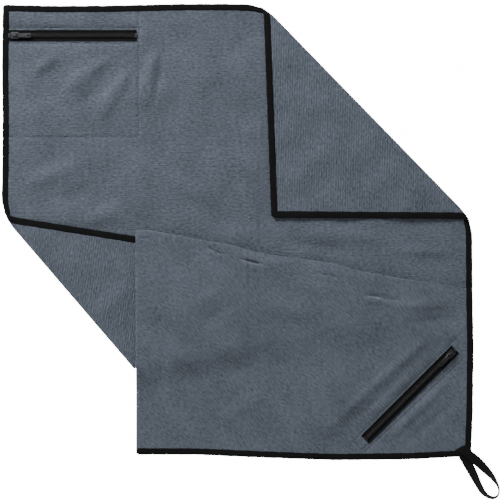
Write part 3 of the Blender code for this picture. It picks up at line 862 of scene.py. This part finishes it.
def make_tapes(cloth, material):
    """The edge tape: down the left edge and over the side flap, along the top and over the corner flap, down the
    right edge, and along the bottom."""
    right_end = np.array([cloth.right])
    pleat_y, bottom_y = cloth.pleat_y(right_end)[0], cloth.bottom_edge(right_end)[0]

    def right_place(down, inset):
        y = cloth.flap_corner[1] - down
        x = cloth.right - inset
        return np.where((y > pleat_y)[..., None], cloth.upper(x, y), cloth.front(x, y))

    runs = (
        (
            "edge_tape_left",
            lambda y, inset: cloth.upper(cloth.left + inset, y),
            (cloth.side_tip[1] + 0.004, cloth.top + 0.0005),
            ("binding_left", "binding_side_flap"),
        ),
        (
            "edge_tape_top",
            lambda x, inset: cloth.upper(x, cloth.top_edge(x) - inset),
            (cloth.left - 0.0005, cloth.right + 0.0005),
            ("binding_top", "binding_flap_side"),
        ),
        (
            "edge_tape_right",
            right_place,
            (-0.0005, cloth.flap_corner[1] - bottom_y),
            ("binding_flap_end", "binding_right"),
        ),
        (
            "edge_tape_bottom",
            lambda x, inset: cloth.front(x, cloth.bottom_edge(x) + inset),
            (FRONT_LEFT - 0.0006, cloth.right),
            ("binding_bottom",),
        ),
    )
    return [tape_run(name, place, span, material, replaced) for name, place, span, replaced in runs]


# ---------------------------------------------------------------- stitches


def stitch_shape():
    """One stitch, a slim bead: rings of six points along its length, drawn in to a point at both ends."""
    angle = np.linspace(0.0, math.pi, 7)
    round_angle = np.arange(6) * math.pi / 3
    length = np.cos(angle)[:, None] * np.ones(6)
    radius = np.maximum(np.sin(angle), 0.05)[:, None] ** 0.7
    return np.stack((length, radius * np.cos(round_angle), radius * np.sin(round_angle)), axis=-1)


def make_stitches(name, seams, height, material):
    """Rows of stitches: beads evenly spaced along each seam, lying on the cloth."""
    centres, turns = [], []
    for x1, y1, x2, y2 in seams:
        length = math.hypot(x2 - x1, y2 - y1)
        count = int(length / STITCH_PITCH)
        share = (np.arange(count) + 0.5) / count
        centres.append(np.stack((x1 + share * (x2 - x1), y1 + share * (y2 - y1)), axis=1))
        turns.append(np.full(count, math.atan2(y2 - y1, x2 - x1)))
    centre, turn = np.vstack(centres), np.concatenate(turns)
    z = height(centre[:, 0], centre[:, 1]) + CLOTH / 2 + STITCH_THICK * 0.1
    bead = stitch_shape() * np.array((STITCH_LENGTH / 2, STITCH_THICK / 2, STITCH_THICK / 2))
    along = np.stack((np.cos(turn), np.sin(turn), np.zeros_like(turn)), axis=1)
    across = np.stack((-np.sin(turn), np.cos(turn), np.zeros_like(turn)), axis=1)
    middle = np.column_stack((centre, z))
    points = (
        middle[:, None, None]
        + bead[None, :, :, 0:1] * along[:, None, None]
        + bead[None, :, :, 1:2] * across[:, None, None]
        + bead[None, :, :, 2:3] * np.array((0.0, 0.0, 1.0))
    )
    rings, sides = bead.shape[:2]
    corner_rows, corner_columns = grid_quads(rings, sides, closed=True)
    quads = corner_rows * sides + corner_columns % sides
    all_quads = (quads[None] + np.arange(len(middle))[:, None, None] * rings * sides).reshape(-1, 4)
    mesh = bpy.data.meshes.new(name)
    mesh.from_pydata(points.reshape(-1, 3).tolist(), [], all_quads.tolist())
    outward(mesh)
    return piece(name, mesh, [material], "towel")


# ---------------------------------------------------------------- zips


def zip_basis(place):
    """A zip's directions: along it, across it and up, as a matrix of rows."""
    turn = place[1]
    along = np.array((math.cos(turn), math.sin(turn), 0.0))
    across = np.array((-along[1], along[0], 0.0))
    return np.stack((along, across, np.array((0.0, 0.0, 1.0))))


def from_zip(place, local):
    """Points in a zip's own directions carried to the towel."""
    centre = np.array((*place[0], 0.0))
    return centre + local @ zip_basis(place)


def make_coil(prefix, side, place, material):
    """One row of a coil zip: wire wound in flattened turns, the turns of the two rows set half a pitch apart."""
    length = place[2] - 2 * COIL_END
    turns = int(length / COIL_PITCH)
    sign = 1 if side == "upper" else -1
    angle = np.linspace(0.0, 2 * math.pi * turns, turns * 12 + 1)
    shift = 0.0 if sign > 0 else COIL_PITCH / 2
    along = -length / 2 + angle / (2 * math.pi) * COIL_PITCH + shift
    across = sign * (COIL_MIDDLE[0] - COIL_REACH * np.cos(angle))
    height = COIL_MIDDLE[1] + COIL_RISE * np.sin(angle)
    path = from_zip(place, np.stack((along + COIL_LEAN * np.sin(angle), across, height), axis=1))
    radial = np.stack((np.zeros_like(angle), -sign * np.cos(angle), np.sin(angle)), axis=1) @ zip_basis(place)
    mesh = swept(f"{prefix}_coil_{side}", path, radial, flat_oval(COIL_WIRE * 2, COIL_WIRE * 2, 6, 1.0))
    coil = piece(f"{prefix}_coil_{side}", mesh, [material], "towel")
    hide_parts(f"{prefix}_zip_{side}_coil")
    return coil


def make_zip_tape(prefix, side, place, material):
    """One side of a zip's tape: a woven band with a raised cord beside the coil and a folded lip at the window."""
    length = place[2]
    sign = 1 if side == "upper" else -1
    share = np.linspace(0.0, 1.0, 20)
    across = ZIP_TAPE_INNER + share * ZIP_TAPE_WIDTH
    lip = 0.00055 * bell(share - 0.97, 0.16)
    cord = 0.00018 * bell(share - 0.42, 0.07)
    height = ZIP_TAPE_TOP + lip + cord
    along = np.linspace(-length / 2, length / 2, 66)
    top = np.stack(np.broadcast_arrays(along[:, None], sign * across[None], height[None]), axis=-1)
    under = top[:, ::-1] - np.array((0.0, 0.0, ZIP_TAPE_THICK))
    ring = np.concatenate((top, under), axis=1)
    mesh = band(f"{prefix}_tape_{side}", from_zip(place, ring), along, ring[0])
    tape = piece(f"{prefix}_tape_{side}", mesh, [material], "towel")
    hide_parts(f"{prefix}_zip_{side}_tape")
    return tape


def make_metal(node, radius, material, body):
    """A slider, pull or stop: a copy of its solid, merged, with its edges rounded."""
    mesh = bpy.data.meshes.new(node.name + "_rounded")
    work = bmesh.new()
    work.from_mesh(node.data)
    bmesh.ops.remove_doubles(work, verts=work.verts, dist=0.000001)
    bmesh.ops.dissolve_limit(work, angle_limit=math.radians(2), verts=work.verts, edges=work.edges)
    work.to_mesh(mesh)
    work.free()
    mesh.materials.clear()
    metal = piece(mesh.name, mesh, [material], body)
    rounding = metal.modifiers.new("rounding", "BEVEL")
    rounding.width = radius
    rounding.segments = 3
    rounding.limit_method = "ANGLE"
    rounding.angle_limit = math.radians(25)
    rounding.harden_normals = True
    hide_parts(node.name)
    return metal


# ---------------------------------------------------------------- loop


def make_loop(material):
    """The hanging loop: flat webbing sewn over the corner, lying flat at its neck and turning on edge round its tip."""
    line = np.array(LOOP_LINE)
    coarse = lengths_along(line[:, :3])
    fine = np.linspace(0.0, coarse[-1], 110)
    smooth = np.stack([np.interp(fine, coarse, column) for column in line.T], axis=1)
    # The line is rounded by averaging each point with its neighbours.
    kernel = np.hanning(9)
    kernel = kernel / kernel.sum()
    padded = np.pad(smooth, ((4, 4), (0, 0)), mode="reflect", reflect_type="odd")
    smooth = np.stack([np.convolve(column, kernel, mode="valid") for column in padded.T], axis=1)
    path, turn = smooth[:, :3], smooth[:, 3] * math.pi / 2
    tangent = unit(np.gradient(path, axis=0))
    level = unit(np.stack((-tangent[:, 1], tangent[:, 0], np.zeros(len(path))), axis=1))
    side = level * np.cos(turn)[:, None] + np.array((0.0, 0.0, 1.0)) * np.sin(turn)[:, None]
    mesh = swept("hanging_loop", path, side, flat_oval(WEBBING_WIDTH, WEBBING_THICK, 18, 0.3))
    loop = piece("hanging_loop", mesh, [material], "towel")
    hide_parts("hang_loop")
    return loop


# ---------------------------------------------------------------- materials


def place_node(tree, kind, inputs=None, **settings):
    """A shader node. Each input is a number, a colour or another node's output."""
    made = tree.nodes.new(kind)
    for name, value in settings.items():
        setattr(made, name, value)
    for name, value in (inputs or {}).items():
        if isinstance(value, bpy.types.NodeSocket):
            tree.links.new(value, made.inputs[name])
        else:
            made.inputs[name].default_value = value
    return made


def maths(tree, operation, first, second=0.0, third=0.0):
    """A Math node's result."""
    return place_node(tree, "ShaderNodeMath", {0: first, 1: second, 2: third}, operation=operation).outputs[0]


def new_group(name, inputs, outputs):
    """A shader node group with named sockets, its input node and its output node."""
    group = bpy.data.node_groups.new(name, "ShaderNodeTree")
    for label, kind, value in inputs:
        socket = group.interface.new_socket(label, in_out="INPUT", socket_type=kind)
        if value is not None:
            socket.default_value = value
    for label in outputs:
        group.interface.new_socket(label, in_out="OUTPUT", socket_type="NodeSocketFloat")
    return group, group.nodes.new("NodeGroupInput").outputs, group.nodes.new("NodeGroupOutput").inputs


def pile_group():
    """Cloth pile: soft loops, combed slightly along the rows, with broad paler and darker patches."""
    group, given, result = new_group(
        "cloth_pile",
        (("Place", "NodeSocketVector", None), ("Loop Size", "NodeSocketFloat", 0.001)),
        ("Height", "Shade"),
    )
    scale = maths(group, "DIVIDE", 1.0, given["Loop Size"])
    stretched = place_node(
        group, "ShaderNodeVectorMath", {0: given["Place"], 1: (0.55, 1.0, 1.0)}, operation="MULTIPLY"
    ).outputs[0]
    loops = place_node(group, "ShaderNodeTexVoronoi", {"Vector": stretched, "Scale": scale}, feature="SMOOTH_F1")
    fine = place_node(
        group,
        "ShaderNodeTexNoise",
        {"Vector": stretched, "Scale": maths(group, "MULTIPLY", scale, 0.55), "Detail": 5.0, "Roughness": 0.7},
    )
    patches = place_node(
        group, "ShaderNodeTexNoise", {"Vector": given["Place"], "Scale": 34.0, "Detail": 4.0, "Roughness": 0.62}
    )
    specks = place_node(
        group, "ShaderNodeTexNoise", {"Vector": stretched, "Scale": 460.0, "Detail": 4.0, "Roughness": 0.65}
    )
    height = maths(group, "MULTIPLY_ADD", loops.outputs["Distance"], -0.45, fine.outputs["Fac"])
    height = maths(group, "MULTIPLY_ADD", specks.outputs["Fac"], 0.8, height)
    shade = maths(group, "MULTIPLY", fine.outputs["Fac"], 0.36)
    shade = maths(group, "MULTIPLY_ADD", patches.outputs["Fac"], 0.16, shade)
    shade = maths(group, "MULTIPLY_ADD", specks.outputs["Fac"], 0.48, shade)
    group.links.new(height, result["Height"])
    group.links.new(shade, result["Shade"])
    return group


def rib_group():
    """Knitted ribs: ridges at an even pitch along the first direction, made uneven by a little noise."""
    group, given, result = new_group(
        "knit_ribs",
        (("Place", "NodeSocketVector", None), ("Pitch", "NodeSocketFloat", 0.0012), ("Waver", "NodeSocketFloat", 0.4)),
        ("Ridge",),
    )
    waver = place_node(group, "ShaderNodeTexNoise", {"Vector": given["Place"], "Scale": 160.0, "Detail": 2.0})
    split = place_node(group, "ShaderNodeSeparateXYZ", {0: given["Place"]})
    phase = maths(group, "DIVIDE", maths(group, "MULTIPLY", split.outputs[0], 2 * math.pi), given["Pitch"])
    phase = maths(group, "MULTIPLY_ADD", maths(group, "MULTIPLY", waver.outputs["Fac"], given["Waver"]), 6.0, phase)
    ridge = maths(group, "MULTIPLY_ADD", maths(group, "SINE", phase), 0.5, 0.5)
    group.links.new(ridge, result["Ridge"])
    return group


def twill_group():
    """Twill weave: slanting ridges crossed by fine threads, on a band's own length and girth."""
    group, given, result = new_group(
        "twill_weave",
        (("Place", "NodeSocketVector", None), ("Pitch", "NodeSocketFloat", 0.0009)),
        ("Thread",),
    )
    split = place_node(group, "ShaderNodeSeparateXYZ", {0: given["Place"]})
    turn = maths(group, "DIVIDE", 2 * math.pi, given["Pitch"])
    slant = maths(group, "ADD", split.outputs[0], split.outputs[1])
    ridges = maths(group, "SINE", maths(group, "MULTIPLY", slant, turn))
    threads = maths(group, "SINE", maths(group, "MULTIPLY", split.outputs[0], maths(group, "MULTIPLY", turn, 2.0)))
    mixed = maths(group, "MULTIPLY_ADD", threads, 0.35, ridges)
    group.links.new(maths(group, "MULTIPLY_ADD", mixed, 0.37, 0.5), result["Thread"])
    return group


def new_material(name, roughness, metallic=0.0, sheen=0.0, specular=0.5):
    """A material's tree and shader, with the settings that are the same all over it."""
    material = bpy.data.materials.new(name)
    material.use_nodes = True
    shader = material.node_tree.nodes["Principled BSDF"]
    shader.inputs["Roughness"].default_value = roughness
    shader.inputs["Metallic"].default_value = metallic
    shader.inputs["Specular IOR Level"].default_value = specular
    shader.inputs["Sheen Weight"].default_value = sheen
    shader.inputs["Sheen Roughness"].default_value = 0.45
    return material, material.node_tree, shader


def uv_place(tree):
    """The piece's own uv, in metres of cloth or tape."""
    return place_node(tree, "ShaderNodeUVMap", uv_map="UVMap").outputs["UV"]


def coloured(tree, shader, shade, dark, pale, low=0.3, high=0.7):
    """Colours a shader between two tones by a shade."""
    ramp = place_node(tree, "ShaderNodeValToRGB", {"Fac": shade})
    ends = ramp.color_ramp.elements
    ends[0].position, ends[1].position = low, high
    ends[0].color, ends[1].color = (*dark, 1.0), (*pale, 1.0)
    tree.links.new(ramp.outputs["Color"], shader.inputs["Base Color"])


def bumped(tree, shader, height, distance, strength=1.0):
    """Gives a shader relief from a height between 0 and 1, that distance deep."""
    bump = place_node(tree, "ShaderNodeBump", {"Height": height, "Distance": distance, "Strength": strength})
    tree.links.new(bump.outputs["Normal"], shader.inputs["Normal"])


def cloth_material(name, pile, ribs, rib_share, pitch, rib_turn):
    """Microfibre: blue-grey pile with a soft sheen, over knit rows. The reverse shows the knit's ribs more."""
    material, tree, shader = new_material(name, 0.95, sheen=0.30, specular=0.15)
    place = uv_place(tree)
    nap = place_node(tree, "ShaderNodeGroup", {"Place": place, "Loop Size": LOOP_SIZE}, node_tree=pile)
    turned = place_node(tree, "ShaderNodeMapping", {"Vector": place, "Rotation": (0.0, 0.0, rib_turn)})
    rib = place_node(
        tree, "ShaderNodeGroup", {"Place": turned.outputs["Vector"], "Pitch": pitch}, node_tree=ribs
    )
    ridge = maths(tree, "SUBTRACT", rib.outputs["Ridge"], 0.5)
    shade = maths(tree, "MULTIPLY_ADD", ridge, rib_share * 0.10, nap.outputs["Shade"])
    coloured(tree, shader, shade, CLOTH_DARK, CLOTH_PALE, 0.36, 0.64)
    height = maths(tree, "MULTIPLY_ADD", ridge, rib_share, nap.outputs["Height"])
    bumped(tree, shader, height, PILE_DEPTH)
    return material


def band_material(name, group, pitch, depth, pale, roughness):
    """A black knitted or woven band with its ribs or threads along it."""
    material, tree, shader = new_material(name, roughness, specular=0.14)
    pattern = place_node(tree, "ShaderNodeGroup", {"Place": uv_place(tree), "Pitch": pitch}, node_tree=group)
    height = pattern.outputs[0]
    coloured(tree, shader, height, BLACK, pale, 0.1, 0.9)
    bumped(tree, shader, height, depth)
    return material


def plain_material(name, colour, roughness, metallic, grain, depth):
    """Nylon, enamel or thread: one tone with a fine uneven grain in its colour and relief."""
    material, tree, shader = new_material(name, roughness, metallic)
    place = place_node(tree, "ShaderNodeTexCoord").outputs["Object"]
    noise = place_node(tree, "ShaderNodeTexNoise", {"Vector": place, "Scale": grain, "Detail": 3.0})
    dark = tuple(0.75 * value for value in colour)
    pale = tuple(1.3 * value for value in colour)
    coloured(tree, shader, noise.outputs["Fac"], dark, pale)
    bumped(tree, shader, noise.outputs["Fac"], depth, 0.6)
    rough = maths(tree, "MULTIPLY_ADD", noise.outputs["Fac"], 0.2, roughness - 0.1)
    tree.links.new(rough, shader.inputs["Roughness"])
    return material


# ---------------------------------------------------------------- studio


def make_studio():
    """A pale floor under soft light from above and the left, and a long lens looking straight down."""
    floor_mesh = bpy.data.meshes.new("floor")
    corners = [(x * FLOOR_REACH, y * FLOOR_REACH, FLOOR_LEVEL) for x, y in ((-1, -1), (1, -1), (1, 1), (-1, 1))]
    floor_mesh.from_pydata(corners, [], [(0, 1, 2, 3)])
    floor = new_object("floor", floor_mesh)
    material, tree, shader = new_material("floor_paint", 0.9)
    shader.inputs["Base Color"].default_value = (0.90, 0.90, 0.90, 1.0)
    shader.inputs["Emission Color"].default_value = WHITE
    shader.inputs["Emission Strength"].default_value = 1.0
    # The floor looks white but hardly lights the towel's edges from below.
    glow = place_node(tree, "ShaderNodeEmission", {"Strength": 16.0})
    rays = place_node(tree, "ShaderNodeLightPath")
    choice = place_node(tree, "ShaderNodeMixShader")
    tree.links.new(rays.outputs["Is Camera Ray"], choice.inputs["Fac"])
    tree.links.new(shader.outputs["BSDF"], choice.inputs[1])
    tree.links.new(glow.outputs["Emission"], choice.inputs[2])
    tree.links.new(choice.outputs["Shader"], tree.nodes["Material Output"].inputs["Surface"])
    floor_mesh.materials.append(material)

    for name, place, size, power in (
        ("key_light", (-1.10, 1.50, 1.12), 0.8, 68.0),
        ("fill_light", (1.9, -0.8, 2.2), 2.2, 12.0),
    ):
        lamp = bpy.data.lights.new(name, "AREA")
        lamp.shape = "SQUARE"
        lamp.size = size
        lamp.energy = power
        light = new_object(name, lamp)
        light.location = place
        light.rotation_euler = (-Vector(place)).to_track_quat("-Z", "Y").to_euler()

    world = bpy.data.worlds.new("studio")
    bpy.context.scene.world = world
    world.use_nodes = True
    sky = world.node_tree.nodes["Background"]
    sky.inputs["Color"].default_value = WHITE
    sky.inputs["Strength"].default_value = 0.40

    lens = bpy.data.cameras.new("camera")
    lens.sensor_width = 36.0
    lens.lens = 36.0 * VIEW_HEIGHT / VIEW_WIDTH
    lens.clip_end = 20.0
    camera = new_object("camera", lens)
    camera.location = (*VIEW_MIDDLE, VIEW_HEIGHT)
    bpy.context.scene.camera = camera


# ---------------------------------------------------------------- the towel


def main():
    """Builds the towel round its CAD nodes."""
    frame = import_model()
    make_studio()

    pile, ribs, twill = pile_group(), rib_group(), twill_group()
    face = cloth_material("microfibre", pile, ribs, 0.12, 0.0023, math.pi / 2)
    reverse = cloth_material("microfibre_reverse", pile, ribs, 0.42, 0.0026, math.pi / 2)
    binding = band_material("knitted_tape", ribs, 0.0011, 0.00025, (0.0080, 0.0082, 0.0084), 0.9)
    zip_cloth = band_material("zip_twill", twill, 0.0009, 0.00012, (0.0072, 0.0074, 0.0076), 0.85)
    webbing = band_material("loop_webbing", twill, 0.0012, 0.00018, (0.0090, 0.0091, 0.0094), 0.85)
    nylon = plain_material("coil_nylon", (0.0075, 0.0077, 0.0080), 0.55, 0.0, 900.0, 0.00003)
    enamel = plain_material("slider_enamel", (0.062, 0.065, 0.072), 0.36, 0.6, 500.0, 0.00003)
    dark_enamel = plain_material("corner_enamel", (0.018, 0.019, 0.021), 0.40, 0.5, 500.0, 0.00003)
    thread = plain_material("seam_thread", (0.026, 0.031, 0.040), 0.8, 0.0, 2500.0, 0.00008)
    lining = cloth_material("pocket_lining", pile, ribs, 0.2, 0.0021, 0.0)

    cloth = Cloth()
    places = zip_places()
    towel = make_towel(cloth, places, [face, reverse])
    tapes = make_tapes(cloth, binding)
    seams = [
        make_stitches("upper_seam_stitches", UPPER_SEAMS, cloth.base_z, thread),
        make_stitches("lower_seam_stitches", LOWER_SEAMS, cloth.sewn_front_z, thread),
    ]

    for prefix, place in zip(("main", "corner"), places):
        for side in ("upper", "lower"):
            make_zip_tape(prefix, side, place, zip_cloth)
            make_coil(prefix, side, place, nylon)
    make_loop(webbing)

    for prefix, finish in (("main", enamel), ("corner", dark_enamel)):
        for part, radius, body in (
            ("start_stop", 0.00025, "towel"),
            ("end_stop", 0.00025, "towel"),
            ("slider", 0.00020, f"{prefix}_slider"),
            ("pull", 0.00020, f"{prefix}_pull"),
        ):
            make_metal(frame["nodes"][f"{prefix}_zip_{part}"], radius, finish, body)
        frame["nodes"][f"{prefix}_pocket_lining"].material_slots[0].material = lining


main()
